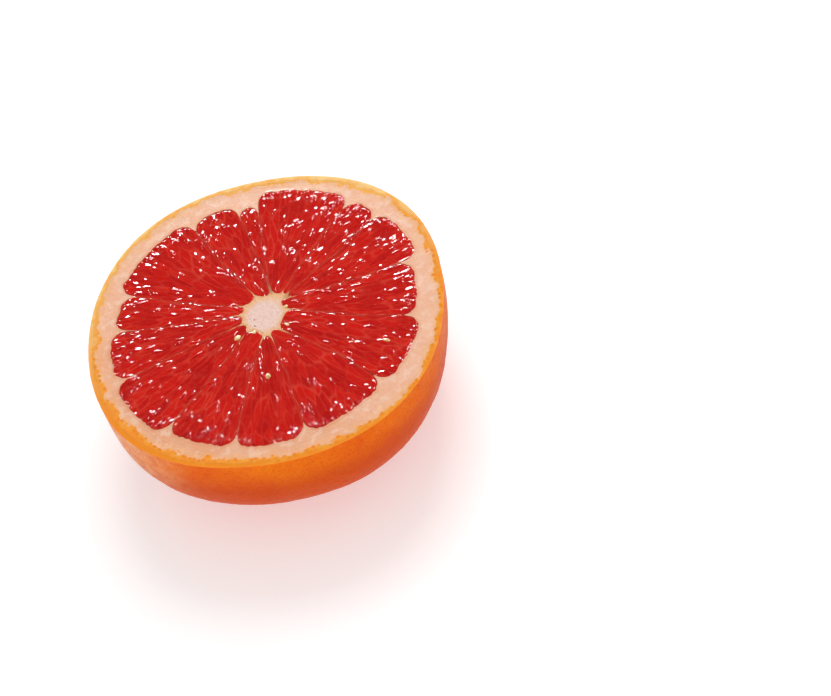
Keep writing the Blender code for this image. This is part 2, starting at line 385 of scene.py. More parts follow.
def past_zest(angle, from_skin):
    """Millimetres from the inner edge of the orange colour, at a depth below the skin."""
    return from_skin / MM - ZEST_DEPTH - waves(angle, ZEST_WAVES)


def ripple(angle, tilt):
    """Low lumps of the peel, which fade out at the far end."""
    crests, start, rows, first = BROAD_RIPPLE
    broad = np.sin(crests * angle + start) * np.sin(rows * tilt + first)
    crests, start, rows, first = FINE_RIPPLE
    fine = np.sin(crests * angle + start) * np.cos(rows * tilt + first)
    return RIPPLE_HEIGHT * (broad + FINE_RIPPLE_SHARE * fine) * np.cos(tilt)


def lean(places):
    """The far end isn't right below the middle of the rim."""
    places[:, 0] += POLE_SHIFT * np.maximum(-places[:, 2], 0.0) / BOWL_DEPTH
    return places


def bowl_places(angle, tilt, inset):
    """Places on the peel, or on a layer that lies an inset below it."""
    wide, deep = superellipse(tilt)
    radius = (rim_radius(angle) - inset) * wide + ripple(angle, tilt)
    depth = np.minimum((BOWL_DEPTH - inset) * deep, BOWL_DEPTH - FLAT_SPOT_RISE - inset)
    return lean(round_places(radius, angle, -depth))


def add_rings(name, columns, levels):
    """A ring drawn up level by level, each one unit high, and closed at both ends."""
    deselect_all()
    bpy.ops.mesh.primitive_circle_add(vertices=columns, radius=1.0)
    rings = bpy.context.object
    rings.name = name
    bpy.ops.object.mode_set(mode="EDIT")
    bpy.ops.mesh.select_mode(type="EDGE")
    bpy.ops.mesh.select_all(action="SELECT")
    for _ in range(levels):
        bpy.ops.mesh.extrude_region_move(TRANSFORM_OT_translate={"value": (0, 0, 1)})
    bpy.ops.mesh.merge(type="CENTER")
    bpy.ops.mesh.select_non_manifold()
    bpy.ops.mesh.merge(type="CENTER")
    bpy.ops.mesh.select_all(action="SELECT")
    bpy.ops.mesh.normals_make_consistent(inside=False)
    bpy.ops.object.mode_set(mode="OBJECT")
    return rings


def read_rings(thing):
    """Direction and level of each vertex of a piece that add_rings drew."""
    places = read_places(thing)
    return np.arctan2(places[:, 1], places[:, 0]), np.round(places[:, 2])


# Shape of the segments

def membrane_angle(membrane, radius, inset):
    """Direction of a membrane's face where it crosses circles round the middle."""
    at_pith, at_core, bow = membrane
    at_pith, at_core = at_pith * DEGREE, at_core * DEGREE
    near = CORE_REACH * np.array((math.cos(at_core), math.sin(at_core)))
    far = PITH_REACH * np.array((math.cos(at_pith), math.sin(at_pith)))
    way = (far - near) / np.linalg.norm(far - near)
    side = np.array((-way[1], way[0]))
    share = np.clip((radius - CORE_REACH) / (PITH_REACH - CORE_REACH), 0.0, 1.0)
    wavy = two_waves(radius / MM, 0.42, 0.95, 9.0 * at_core, 5.0 * at_pith)
    offset = inset + (bow + MEMBRANE_WAVE * wavy) * np.sin(math.pi * share)
    start = near @ way
    across = near @ side + offset
    along = np.sqrt(np.maximum(radius ** 2 - across ** 2, 0.0))
    along = np.maximum(along, start - CORE_REACH)
    x = along * way[0] + across * side[0]
    y = along * way[1] + across * side[1]
    turn = np.arctan2(y, x) - at_pith
    return at_pith + (turn + math.pi) % (2.0 * math.pi) - math.pi


def side_angles(segment, radius):
    """Directions of a segment's two sides where they cross circles round the middle."""
    left_side, right_side, _, _ = segment
    left = membrane_angle(left_side, radius, PULP_INSET)
    return left, membrane_angle(right_side, radius, -PULP_INSET)


def list_segments():
    """Each segment: the membranes on both sides, its crest and its tip."""
    first = (MEMBRANES[0][0] + 360.0, MEMBRANES[0][1] + 360.0, MEMBRANES[0][2])
    rights = MEMBRANES[1:] + (first,)
    ends = ((crest * MM, tip * MM) for crest, tip in SEGMENT_ENDS)
    return [(left, right, crest, tip) for left, right, (crest, tip) in zip(MEMBRANES, rights, ends)]


def corner_drop(distance, corner):
    """How far a round corner falls back at a distance from the side."""
    inside = np.clip(corner - distance, 0.0, corner)
    return corner - np.sqrt(np.maximum(corner ** 2 - inside ** 2, 0.0))


def outer_bumps(across, width, number):
    """The rounded ends of the juice sacs scallop the outer end of a segment."""
    place = across * width / MM
    bend = 0.9 * np.sin(place * 0.6 + number)
    lobes = np.abs(np.sin(math.pi * place / SCALLOP_WIDTH + number + bend))
    swell = np.sin(place * 0.8 + 2.0 * number)
    return SCALLOP_HEIGHT * lobes - SCALLOP_SUNK + SCALLOP_SWELL * swell


def wedge_places(segment, number, across, along, tilt):
    """Radius and direction of places in a segment: across, outwards and down."""
    _, _, crest, tip = segment
    drops, widths = [], []
    for radius in (tip, crest):
        left, right = side_angles(segment, radius)
        width = (right - left) * radius
        corner = min(CORNER_RADIUS, LARGEST_CORNER_SHARE * width)
        drops.append(corner_drop(np.minimum(across, 1.0 - across) * width, corner))
        widths.append(width)
    inner = tip + drops[0]
    outer = crest - drops[1] + outer_bumps(across, widths[1], number)
    reach = (crest * superellipse(tilt)[0] - tip) / (crest - tip)
    radius = inner + (outer - inner) * reach * along
    left, right = side_angles(segment, radius)
    return radius, left + (right - left) * across


def end_outline(segments, along):
    """Radius over direction of all the segments' outer ends, or of their tips."""
    across = np.linspace(0.0, 1.0, END_STEPS)
    radii, angles = [], []
    for number, segment in enumerate(segments, start=1):
        ends = np.full(END_STEPS, along)
        radius, angle = wedge_places(segment, number, across, ends, np.zeros(END_STEPS))
        radii.append(radius)
        angles.append(angle)
    return np.concatenate(angles), np.concatenate(radii)


def radius_at(outline, angle):
    """Read an outline in any direction."""
    full_turn = 2.0 * math.pi
    return np.interp(angle % full_turn, outline[0], outline[1], period=full_turn)


# Rind

def make_peel(skin, cut):
    """The orange skin: uneven outside, with a flat cut band on top."""
    outside_rings, band_rings, inside_rings = PEEL_RINGS
    band_end = outside_rings + band_rings
    peel = add_rings("peel", PEEL_COLUMNS, band_end + inside_rings)
    angle, level = read_rings(peel)
    face_levels = np.array([face.center.z for face in peel.data.polygons])
    cut_faces = (face_levels > outside_rings) & (face_levels < band_end)
    outside = level <= outside_rings
    inside_share = np.maximum(level - band_end, 0.0) / inside_rings
    down = np.where(outside, 1.0 - level / outside_rings, inside_share)
    inset = np.clip((level - outside_rings) / band_rings, 0.0, 1.0) * PEEL_THICKNESS
    plain = bowl_places(angle, even_tilt(down), inset)
    write_places(peel, plain)
    lumps = new_texture("lumps", "CLOUDS", LUMP_SIZE)
    lumps.noise_depth = 1
    press_in(peel, lumps, LUMP_HEIGHT)
    press_in(peel, new_texture("dimples", "VORONOI", DIMPLE_SIZE), DIMPLE_DEPTH)
    places = read_places(peel)
    from_scar = np.hypot(places[:, 0] - POLE_SHIFT, places[:, 1])
    hollow = 1.0 - smooth_step(SCAR_FLOOR_REACH, SCAR_REACH, from_scar)
    places[:, 2] += SCAR_DEPTH * hollow * (level < outside_rings / 2)
    places[~outside] = plain[~outside]
    places[level == outside_rings, 2] = 0.0
    write_places(peel, places)
    distance = np.hypot(places[:, 0], places[:, 1])
    store(peel, "past_zest", past_zest(angle, np.maximum(rim_radius(angle) - distance, 0.0)))
    finish_piece(peel, ["rind"], "rind", skin, cut)
    peel.data.polygons.foreach_set("material_index", cut_faces.astype(np.int32))


def make_pith(segments, material):
    """The pale layer under the peel: a bowl whose ring shows round the pulp."""
    outside_rings, band_rings, inside_rings = PITH_RINGS
    band_end = outside_rings + band_rings
    pith = add_rings("pith", PITH_COLUMNS, band_end + inside_rings)
    angle, level = read_rings(pith)
    pulp_edge = radius_at(end_outline(segments, 1.0), angle)
    outer_edge = rim_radius(angle) - PEEL_THICKNESS
    outside, inside = level <= outside_rings, level >= band_end
    outer_tilt = even_tilt(np.clip(1.0 - level / outside_rings, 0.0, 1.0))
    outer = bowl_places(angle, outer_tilt, PEEL_THICKNESS)
    wide, deep = superellipse(even_tilt(np.clip((level - band_end) / inside_rings, 0.0, 1.0)))
    inner = lean(round_places(pulp_edge * wide, angle, -PULP_DEPTH * deep))
    share = np.clip((level - outside_rings) / band_rings, 0.0, 1.0)
    distance = outer_edge + (pulp_edge - outer_edge) * share
    band = round_places(distance, angle, -PITH_HOLLOW * np.sin(math.pi * share))
    places = np.where(outside[:, None], outer, np.where(inside[:, None], inner, band))
    write_places(pith, places)
    distance = np.hypot(places[:, 0], places[:, 1])
    store(pith, "past_zest", past_zest(angle, rim_radius(angle) - distance))
    store(pith, "from_pulp", (distance - pulp_edge) / MM)
    finish_piece(pith, ["rind"], "rind", material)


def make_core(segments, material):
    """The spongy column in the middle, star-shaped where it is cut."""
    deselect_all()
    bpy.ops.mesh.primitive_uv_sphere_add(segments=CORE_COLUMNS, ring_count=CORE_ROWS, radius=1.0)
    core = bpy.context.object
    core.name = "core"
    places = read_places(core)
    angle = np.arctan2(places[:, 1], places[:, 0])
    height = np.arcsin(np.clip(places[:, 2], -1.0, 1.0)) / (math.pi / 2.0)
    outline = np.minimum(radius_at(end_outline(segments, 0.0), angle), LONGEST_SPIKE)
    top = height >= -0.001
    share = np.where(top, 1.0 - np.maximum(height, 0.0), 1.0)
    share[height < -0.999] = 0.0
    beyond = np.clip((share - CORE_PLAIN_SHARE) / (1.0 - CORE_PLAIN_SHARE), 0.0, 1.0)
    radius = CORE_PLAIN_RADIUS * np.minimum(share / CORE_PLAIN_SHARE, 1.0)
    radius = radius + (outline + CORE_OVERLAP - CORE_PLAIN_RADIUS) * beyond
    depth = np.where(top, 0.0, -(PULP_DEPTH + CORE_BELOW_PULP) * np.minimum(-height * 1.05, 1.0))
    flat = round_places(radius, angle, depth)
    spongy = np.array([noise_at(x, y) for x, y, _ in flat])
    edge = smooth_step(0.75, 1.0, share)
    relief = CORE_GRAIN_HEIGHT * spongy - CORE_SUNK - CORE_EDGE_DROP * edge
    flat[:, 2] += np.where(top, relief, 0.0)
    write_places(core, lean(flat))
    store(core, "from_middle", share)
    finish_piece(core, ["rind"], "rind", material)


def make_sheet(name, walls, start, reach, notch, thickness, phase):
    """One thin upright wall on a membrane, or midway between two, down to the pulp's floor."""
    deselect_all()
    bpy.ops.mesh.primitive_grid_add(x_subdivisions=SHEET_COLUMNS, y_subdivisions=SHEET_ROWS, size=2.0)
    sheet = bpy.context.object
    sheet.name = name
    places = read_places(sheet)
    out, down = (places[:, 0] + 1.0) / 2.0, (places[:, 1] + 1.0) / 2.0
    radius = start + (reach - start) * out
    share = np.clip(radius / (reach + SHEET_FLOOR_REACH), 0.0, 1.0)
    floor_tilt = np.arccos(share ** (BOWL_FULLNESS / 2.0))
    floor = np.maximum(PULP_DEPTH * superellipse(floor_tilt)[1], LOWEST_SHEET)
    sunk = 1.0 - smooth_step(MEMBRANE_START, MEMBRANE_START + START_FADE, radius)
    sunk = sunk + smooth_step(notch - 0.6 * MM, notch + 0.3 * MM, radius)
    wavy = two_waves(radius / MM, 0.9, 2.3, phase, 2.0 * phase)
    top = TOP_RIPPLE * wavy - TOP_SUNK - END_SUNK * sunk
    height = top + (-floor - top) * down
    sway = MEMBRANE_SWAY * np.sin(radius / MM * 0.55 + 1.7 * phase)
    angle = sum(membrane_angle(wall, radius, 0.0) for wall in walls) / len(walls)
    write_places(sheet, lean(round_places(radius, angle + sway / radius, height)))
    thick = sheet.modifiers.new("thick", "SOLIDIFY")
    thick.thickness = thickness
    thick.offset = 0.0
    bpy.ops.object.modifier_apply(modifier=thick.name)
    return sheet


def make_membranes(segments, material):
    """Thin walls between the segments, from the core to the pith."""
    sheets = []
    outline = end_outline(segments, 1.0)
    for number, (left, right, crest, tip) in enumerate(segments, start=1):
        crest_beside = segments[number - 2][2]
        reach = min(crest, crest_beside) - 0.4 * MM
        notch = radius_at(outline, membrane_angle(left, reach, 0.0))
        sheets.append(make_sheet(f"membrane_{number:02d}", [left], MEMBRANE_START, reach, notch,
                                 MEMBRANE_THICKNESS, number))
        if tip > LONGEST_SPIKE:
            sheets.append(make_sheet(f"seam_{number:02d}", [left, right], CORE_REACH, tip + 1.0 * MM,
                                     notch, SEAM_THICKNESS, number))
    finish_piece(join_pieces(sheets, "membranes"), ["rind"], "rind", material)


# Pulp

def place_sacs(segment, chance):
    """Middles, directions and sizes of the juice sacs that the cut face shows."""
    _, _, crest, tip = segment
    sacs = []
    radius = tip + 0.6 * MM
    row = 0
    while radius < crest + 1.0 * MM:
        near_end = max(0.0, min(1.0, (radius - crest + SHORT_SACS_START) / SHORT_SACS_FADE))
        stretch = LONG_SAC + (SHORT_SAC - LONG_SAC) * near_end
        left, right = side_angles(segment, radius)
        width = (right - left) * radius
        inward = radius + 6.0 * MM
        left_on, right_on = side_angles(segment, inward)
        count = max(1, round(width / SAC_WIDTH))
        odd_row = row % 2
        for index in range(count + odd_row):
            across = (index + 0.5 * (1 + odd_row) - odd_row + chance.uniform(-0.25, 0.25)) / count
            out = radius + chance.uniform(-0.3, 0.3) * stretch * SAC_WIDTH
            out = min(max(out, tip), crest)
            angle = left + (right - left) * across
            angle_on = left_on + (right_on - left_on) * across
            x, y = out * math.cos(angle), out * math.sin(angle)
            way_x, way_y = inward * math.cos(angle_on) - x, inward * math.sin(angle_on) - y
            heading = math.atan2(way_y, way_x) + chance.uniform(-0.16, 0.16)
            raised = chance.random() ** 2.2 * (0.4 + 0.8 * near_end)
            sacs.append((x, y, heading, stretch * chance.uniform(0.85, 1.2), raised,
                         chance.uniform(-1.0, 1.0), chance.uniform(-1.0, 1.0), chance.random(),
                         near_end, min(across, 1.0 - across) * width))
        radius += stretch * SAC_WIDTH * 0.5
        row += 1
    return np.array(sacs)


def sac_relief(x, y, sacs):
    """Height, edge and tone at each place, from the nearest and the second nearest sac."""
    dx = x[:, None] - sacs[None, :, X]
    dy = y[:, None] - sacs[None, :, Y]
    cos, sin = np.cos(sacs[:, HEADING]), np.sin(sacs[:, HEADING])
    along = dx * cos + dy * sin
    aside = -dx * sin + dy * cos
    distance = np.sqrt((along / sacs[:, STRETCH]) ** 2 + aside ** 2)
    order = np.argpartition(distance, 1, axis=1)[:, :2]
    rows = np.arange(len(x))
    first, second = distance[rows, order[:, 0]], distance[rows, order[:, 1]]
    nearest = np.where(first <= second, order[:, 0], order[:, 1])
    gap = np.abs(second - first)
    rise = 1.0 - (1.0 - np.clip(gap / SAC_RISE_WIDTH, 0.0, 1.0)) ** 2
    slope = (sacs[nearest, TILT_ALONG] * along[rows, nearest] * SLOPE_ALONG
             + sacs[nearest, TILT_ASIDE] * aside[rows, nearest] * SLOPE_ASIDE)
    height = rise * (SAC_RISE * sacs[nearest, RAISED] + slope)
    edge = 1.0 - smooth_step(0.0, SAC_EDGE_WIDTH, gap)
    return height, edge, sacs[nearest, TONE]


def bump_height(x, y, middle, turn, sizes, chance):
    """Height of one plump bump of a random size, slightly bent along its length."""
    length, width, tall = (chance.uniform(*span) * MM for span in sizes)
    dx, dy = x - middle[0], y - middle[1]
    away = dx * math.cos(turn) + dy * math.sin(turn)
    beside = -dx * math.sin(turn) + dy * math.cos(turn)
    beside = beside + 0.12 * away ** 2 / length
    left = np.clip(1.0 - (away / length) ** 2 - (beside / width) ** 2, 0.0, 1.0)
    return tall * left ** 1.3


def ridge_relief(x, y, sacs, chance):
    """Height of the small ridges and plump ends where cut sacs stand up and catch the light."""
    height = np.zeros(len(x))
    for sac in sacs:
        heading, near_end = sac[HEADING], sac[NEAR_END]
        share = RIDGE_SHARE + RIDGE_SHARE_NEAR_END * near_end
        share = share + RIDGE_SHARE_BY_WALL * (sac[TO_SIDE] < BY_WALL_REACH)
        count = int(chance.random() < share) + int(chance.random() < 0.5 * share)
        for _ in range(count):
            shift, aside = chance.uniform(-2.5, 3.0) * MM, chance.uniform(-0.9, 0.9) * MM
            middle = (sac[X] + shift * math.cos(heading) - aside * math.sin(heading),
                      sac[Y] + shift * math.sin(heading) + aside * math.cos(heading))
            turn = heading + chance.gauss(0.0, 0.22)
            height = np.maximum(height, bump_height(x, y, middle, turn, RIDGE_SIZES, chance))
        above = max(0.0, sac[X] * 0.5 + sac[Y] * 0.85) / PITH_REACH
        if chance.random() < PLUMP_SHARE_NEAR_END * near_end + PLUMP_SHARE_ABOVE * above:
            plump = bump_height(x, y, (sac[X], sac[Y]), heading, PLUMP_SIZES, chance)
            height = np.maximum(height, plump)
    return height


def add_block(name, columns, rows, levels):
    """A grid with its edge drawn down level by level, each one unit high, and a floor."""
    deselect_all()
    bpy.ops.mesh.primitive_grid_add(x_subdivisions=columns, y_subdivisions=rows, size=2.0)
    block = bpy.context.object
    block.name = name
    bpy.ops.object.mode_set(mode="EDIT")
    bpy.ops.mesh.select_mode(type="EDGE")
    bpy.ops.mesh.select_all(action="DESELECT")
    bpy.ops.mesh.select_non_manifold()
    for _ in range(levels):
        bpy.ops.mesh.extrude_region_move(TRANSFORM_OT_translate={"value": (0, 0, -1)})
    bpy.ops.mesh.edge_face_add()
    bpy.ops.mesh.select_all(action="SELECT")
    bpy.ops.mesh.normals_make_consistent(inside=False)
    bpy.ops.object.mode_set(mode="OBJECT")
    return block


def make_pulp(segment, number, chance, material):
    """One wedge of pulp: packed juice sacs on the cut face, plain walls below."""
    _, _, crest, tip = segment
    left, right = side_angles(segment, crest)
    columns = max(FEWEST_COLUMNS, round(float(right - left) * crest / GRID_STEP))
    rows = round((crest - tip) / GRID_STEP)
    pulp = add_block(f"pulp_{number:02d}", columns, rows, WALL_LEVELS)
    lattice = read_places(pulp)
    across, along = (lattice[:, 0] + 1.0) / 2.0, (lattice[:, 1] + 1.0) / 2.0
    level = np.round(-lattice[:, 2])
    shortest = (tip + SHORTEST_FLOOR) / crest
    lowest = min(LOWEST_TILT, math.acos(shortest ** (BOWL_FULLNESS / 2.0)))
    tilt = lowest * level / WALL_LEVELS
    radius, angle = wedge_places(segment, number, across, along, tilt)
    x, y = radius * np.cos(angle), radius * np.sin(angle)
    sacs = place_sacs(segment, chance)
    height, edge, tone = sac_relief(x, y, sacs)
    height = height + ridge_relief(x, y, sacs, chance)
    left, right = side_angles(segment, radius)
    to_side = np.minimum(across, 1.0 - across) * (right - left) * radius
    to_end = np.minimum(along, 1.0 - along) * (crest - tip)
    to_edge = np.minimum(to_side, to_end)
    crown = CROWN_HEIGHT * (smooth_step(0.0, CROWN_REACH, to_edge) - CROWN_SUNK_SHARE)
    side_drop = SIDE_DROP * (1.0 - smooth_step(0.0, SIDE_REACH, to_side))
    end_drop = END_DROP * (1.0 - smooth_step(0.0, END_REACH, to_end)) ** 1.5
    wobble = np.array([noise_at(px * WOBBLE_SCALE, py * WOBBLE_SCALE) for px, py in zip(x, y)])
    relief = np.minimum(height + crown + WOBBLE_HEIGHT * wobble - side_drop - end_drop, TALLEST_RELIEF)
    z = np.where(level == 0, relief, -PULP_DEPTH * superellipse(tilt)[1])
    write_places(pulp, lean(np.column_stack((x, y, z))))
    store(pulp, "sac_edge", edge)
    store(pulp, "sac_tone", tone)
    store(pulp, "near_wall", 1.0 - smooth_step(0.0, BORDER_REACH, to_edge))
    finish_piece(pulp, [f"segment_{number:02d}"], "pulp", material)


def make_seeds(material):
    """Small pale seeds that never grew, each blunt at one end and pointed at the other."""
    seeds = []
    for distance, direction, length, width, height in SEEDS:
        deselect_all()
        bpy.ops.mesh.primitive_uv_sphere_add(segments=20, ring_count=14, radius=0.5)
        seed = bpy.context.object
        ball = read_places(seed)
        pointed = 1.0 - SEED_TAPER * np.clip(ball[:, 0] + 0.1, 0.0, 1.0)
        out = distance - ball[:, 0] * length
        aside = ball[:, 1] * width * pointed
        z = ball[:, 2] * width * pointed * SEED_FLATNESS + height
        cos, sin = math.cos(direction * DEGREE), math.sin(direction * DEGREE)
        places = np.column_stack((out * cos + aside * sin, out * sin - aside * cos, z))
        write_places(seed, places * MM)
        seeds.append(seed)
    finish_piece(join_pieces(seeds, "seeds"), [], "pulp", material)


# Node tools

def connect(tree, node, inputs):
    """Link or set a node's inputs by name or number."""
    for name, value in (inputs or {}).items():
        if isinstance(value, bpy.types.NodeSocket):
            tree.links.new(value, node.inputs[name])
        else:
            node.inputs[name].default_value = value
    return node


def put(tree, kind, inputs=None, **options):
    """Add a node with its options and inputs."""
    node = tree.nodes.new(kind)
    for option, value in options.items():
        setattr(node, option, value)
    return connect(tree, node, inputs)


def use_group(tree, group, inputs=None):
    """Place a group in a material."""
    return put(tree, "ShaderNodeGroup", inputs, node_tree=group)


def calculate(tree, operation, first, second=0.0, clamp=False):
    """One sum on two numbers."""
    node = put(tree, "ShaderNodeMath", {0: first, 1: second}, operation=operation, use_clamp=clamp)
    return node.outputs[0]


def scaled(tree, value, share):
    """A number times another."""
    return calculate(tree, "MULTIPLY", value, share)


def added(tree, first, second):
    """Two numbers added up."""
    return calculate(tree, "ADD", first, second)


def between(tree, value, low, high, start=0.0, end=1.0):
    """Turn a range of values smoothly into another range."""
    limits = {"Value": value, "From Min": low, "From Max": high, "To Min": start, "To Max": end}
    node = put(tree, "ShaderNodeMapRange", limits, interpolation_type="SMOOTHSTEP")
    return node.outputs["Result"]


def on_arrows(tree, operation, first, second, result=0):
    """One sum on two places or arrows."""
    node = put(tree, "ShaderNodeVectorMath", {0: first, 1: second}, operation=operation)
    return node.outputs[result]


def part_of(tree, place, axis):
    """One coordinate of a place."""
    return put(tree, "ShaderNodeSeparateXYZ", {0: place}).outputs[axis]


def blend_colours(tree, share, first, second, how="MIX"):
    """Mix two colours by a share."""
    inputs = {0: share, 6: first, 7: second}
    return put(tree, "ShaderNodeMix", inputs, data_type="RGBA", blend_type=how).outputs[2]


def read_number(tree, name):
    """A number that is kept in the mesh."""
    return put(tree, "ShaderNodeAttribute", attribute_name=name).outputs["Fac"]


def cells_at(tree, place, scale, randomness):
    """Distance from the middle of the nearest of many scattered cells."""
    inputs = {"Vector": place, "Scale": scale, "Randomness": randomness}
    return put(tree, "ShaderNodeTexVoronoi", inputs).outputs["Distance"]


def noise_near(tree, place, scale, detail, roughness=0.5):
    """Plain noise."""
    inputs = {"Vector": place, "Scale": scale, "Detail": detail, "Roughness": roughness}
    return put(tree, "ShaderNodeTexNoise", inputs).outputs[0]


def patches(tree, mottle, place, size, contrast):
    """Soft patches of a size in millimetres."""
    return use_group(tree, mottle, {"Place": place, "Size": size, "Contrast": contrast}).outputs[0]


def new_group(name, inputs, outputs):
    """A node group with named inputs and outputs. It returns the tree and both ends."""
    tree = bpy.data.node_groups.new(name, "ShaderNodeTree")
    for label, kind, value in inputs:
        socket = tree.interface.new_socket(label, in_out="INPUT", socket_type=kind)
        socket.default_value = value
    for label, kind in outputs:
        tree.interface.new_socket(label, in_out="OUTPUT", socket_type=kind)
    return tree, tree.nodes.new("NodeGroupInput").outputs, tree.nodes.new("NodeGroupOutput")


def new_material(name, settings):
    """A material with its shader's plain values set on the shader's own sockets."""
    material = bpy.data.materials.new(name)
    material.use_nodes = True
    shader = material.node_tree.nodes["Principled BSDF"]
    for label, value in settings.items():
        shader.inputs[label].default_value = value
    return material, material.node_tree, shader


def scattered(weight, radius, scale):
    """Settings for light that spreads below the surface."""
    return {"Subsurface Weight": weight, "Subsurface Radius": radius, "Subsurface Scale": scale}


def dress(tree, shader, colour, height, strength, depth):
    """Give a shader its colour, and fine relief that is too small for the mesh."""
    bump = put(tree, "ShaderNodeBump", {"Height": height, "Strength": strength, "Distance": depth})
    connect(tree, shader, {"Base Color": colour, "Normal": bump.outputs[0]})


# Shared effects

def group_fruit_place():
    """Places in millimetres from the middle of the rim, and two stretched readings of them."""
    tree, _, out = new_group("fruit_place", (), (
        ("Place", ARROW), ("Rays", ARROW), ("Rings", ARROW), ("Radius", NUMBER), ("Height", NUMBER)))
    here = put(tree, "ShaderNodeTexCoord").outputs["Object"]
    moved = on_arrows(tree, "SUBTRACT", here, RIM_MIDDLE)
    inputs = {0: moved, "Scale": 1.0 / MM}
    place = put(tree, "ShaderNodeVectorMath", inputs, operation="SCALE").outputs[0]
    flat = on_arrows(tree, "MULTIPLY", place, (1.0, 1.0, 0.0))
    radius = put(tree, "ShaderNodeVectorMath", {0: flat}, operation="LENGTH").outputs["Value"]
    heading = put(tree, "ShaderNodeVectorMath", {0: flat}, operation="NORMALIZE").outputs[0]
    for label, turn_scale, out_scale in (("Rays", 30.0, 0.12), ("Rings", 5.0, 1.6)):
        x = scaled(tree, part_of(tree, heading, 0), turn_scale)
        y = scaled(tree, part_of(tree, heading, 1), turn_scale)
        z = scaled(tree, radius, out_scale)
        joined = put(tree, "ShaderNodeCombineXYZ", {0: x, 1: y, 2: z}).outputs[0]
        tree.links.new(joined, out.inputs[label])
    connect(tree, out, {"Place": place, "Radius": radius, "Height": part_of(tree, place, 2)})
    return tree


def group_mottle():
    """Soft patches of about one size, from 0 to 1."""
    tree, given, out = new_group("mottle", (
        ("Place", ARROW, (0.0, 0.0, 0.0)), ("Size", NUMBER, 1.0), ("Contrast", NUMBER, 1.0)),
        (("Patches", NUMBER),))
    scale = calculate(tree, "DIVIDE", 1.0, given["Size"])
    coarse = noise_near(tree, given["Place"], scale, 3.0, 0.55)
    strong = scaled(tree, calculate(tree, "SUBTRACT", coarse, 0.5), given["Contrast"])
    connect(tree, out, {"Patches": calculate(tree, "ADD", strong, 0.5, clamp=True)})
    return tree


def group_oil_glands():
    """Small round glands in the peel: a mask of the dots and the height of the skin."""
    tree, given, out = new_group("oil_glands", (
        ("Place", ARROW, (0.0, 0.0, 0.0)), ("Spacing", NUMBER, 1.0)),
        (("Dots", NUMBER), ("Height", NUMBER)))
    scale = calculate(tree, "DIVIDE", 1.0, given["Spacing"])
    cells = cells_at(tree, given["Place"], scale, 0.85)
    dots = between(tree, cells, 0.14, 0.54, 1.0, 0.0)
    dent = between(tree, cells, 0.0, 0.55, -1.0, 0.0)
    bumps = noise_near(tree, given["Place"], scale, 2.0)
    connect(tree, out, {"Dots": dots, "Height": added(tree, dent, scaled(tree, bumps, 0.8))})
    return tree


def group_cut_rind(mottle):
    """Colour of the cut rind by its distance past the zest: patchy orange, then pale pith."""
    tree, given, out = new_group("cut_rind", (
        ("Place", ARROW, (0.0, 0.0, 0.0)), ("Past Zest", NUMBER, 0.0), ("From Pulp", NUMBER, 9.0)),
        (("Colour", COLOUR),))
    place = given["Place"]
    cells = cells_at(tree, place, 0.72, 0.9)
    past = added(tree, added(tree, given["Past Zest"], scaled(tree, cells, 1.1)), 0.4)
    patchy = patches(tree, mottle, place, 4.5, 3.2)
    past = calculate(tree, "SUBTRACT", past, scaled(tree, patchy, 2.0))

    # Pith: warmer at the lower left, mottled, and tinged beside the zest and the pulp
    lower_left = on_arrows(tree, "DOT_PRODUCT", place, (-0.8, -0.6, 0.0), "Value")
    warm = between(tree, lower_left, -30.0, 55.0)
    blush = scaled(tree, patches(tree, mottle, place, 12.0, 2.6), 0.55)
    blush = added(tree, blush, scaled(tree, warm, 0.45))
    pale = blend_colours(tree, blush, seen(252, 209, 184), seen(237, 172, 130))
    grain = patches(tree, mottle, place, 1.3, 1.8)
    pale = blend_colours(tree, scaled(tree, grain, 0.5), pale, seen(234, 156, 114))
    cloud = between(tree, patches(tree, mottle, place, 3.2, 3.0), 0.45, 0.95, 0.0, 0.4)
    pale = blend_colours(tree, cloud, pale, seen(254, 224, 204))
    beside_zest = between(tree, past, -0.2, 2.6, 0.45, 0.0)
    pale = blend_colours(tree, beside_zest, pale, seen(249, 180, 108))
    beside_pulp = between(tree, given["From Pulp"], 0.1, 1.4, 0.45, 0.0)
    pale = blend_colours(tree, beside_pulp, pale, seen(233, 146, 100))

    # Zest: deep orange by the pith, yellower by the skin, and paler at the back
    front = between(tree, part_of(tree, place, 1), 40.0, -20.0)
    outer = blend_colours(tree, front, seen(255, 206, 132), seen(248, 142, 20))
    dark = between(tree, cells, 0.1, 0.62)
    orange = blend_colours(tree, dark, seen(240, 122, 6), seen(250, 158, 40))
    back = between(tree, front, 0.0, 0.6, 0.6, 0.0)
    orange = blend_colours(tree, back, orange, seen(253, 190, 100))
    orange = blend_colours(tree, between(tree, past, -2.4, -0.3), outer, orange)
    zest = between(tree, past, -0.25, 0.35, 1.0, 0.0)
    connect(tree, out, {"Colour": blend_colours(tree, zest, pale, orange)})
    return tree


# Finishes

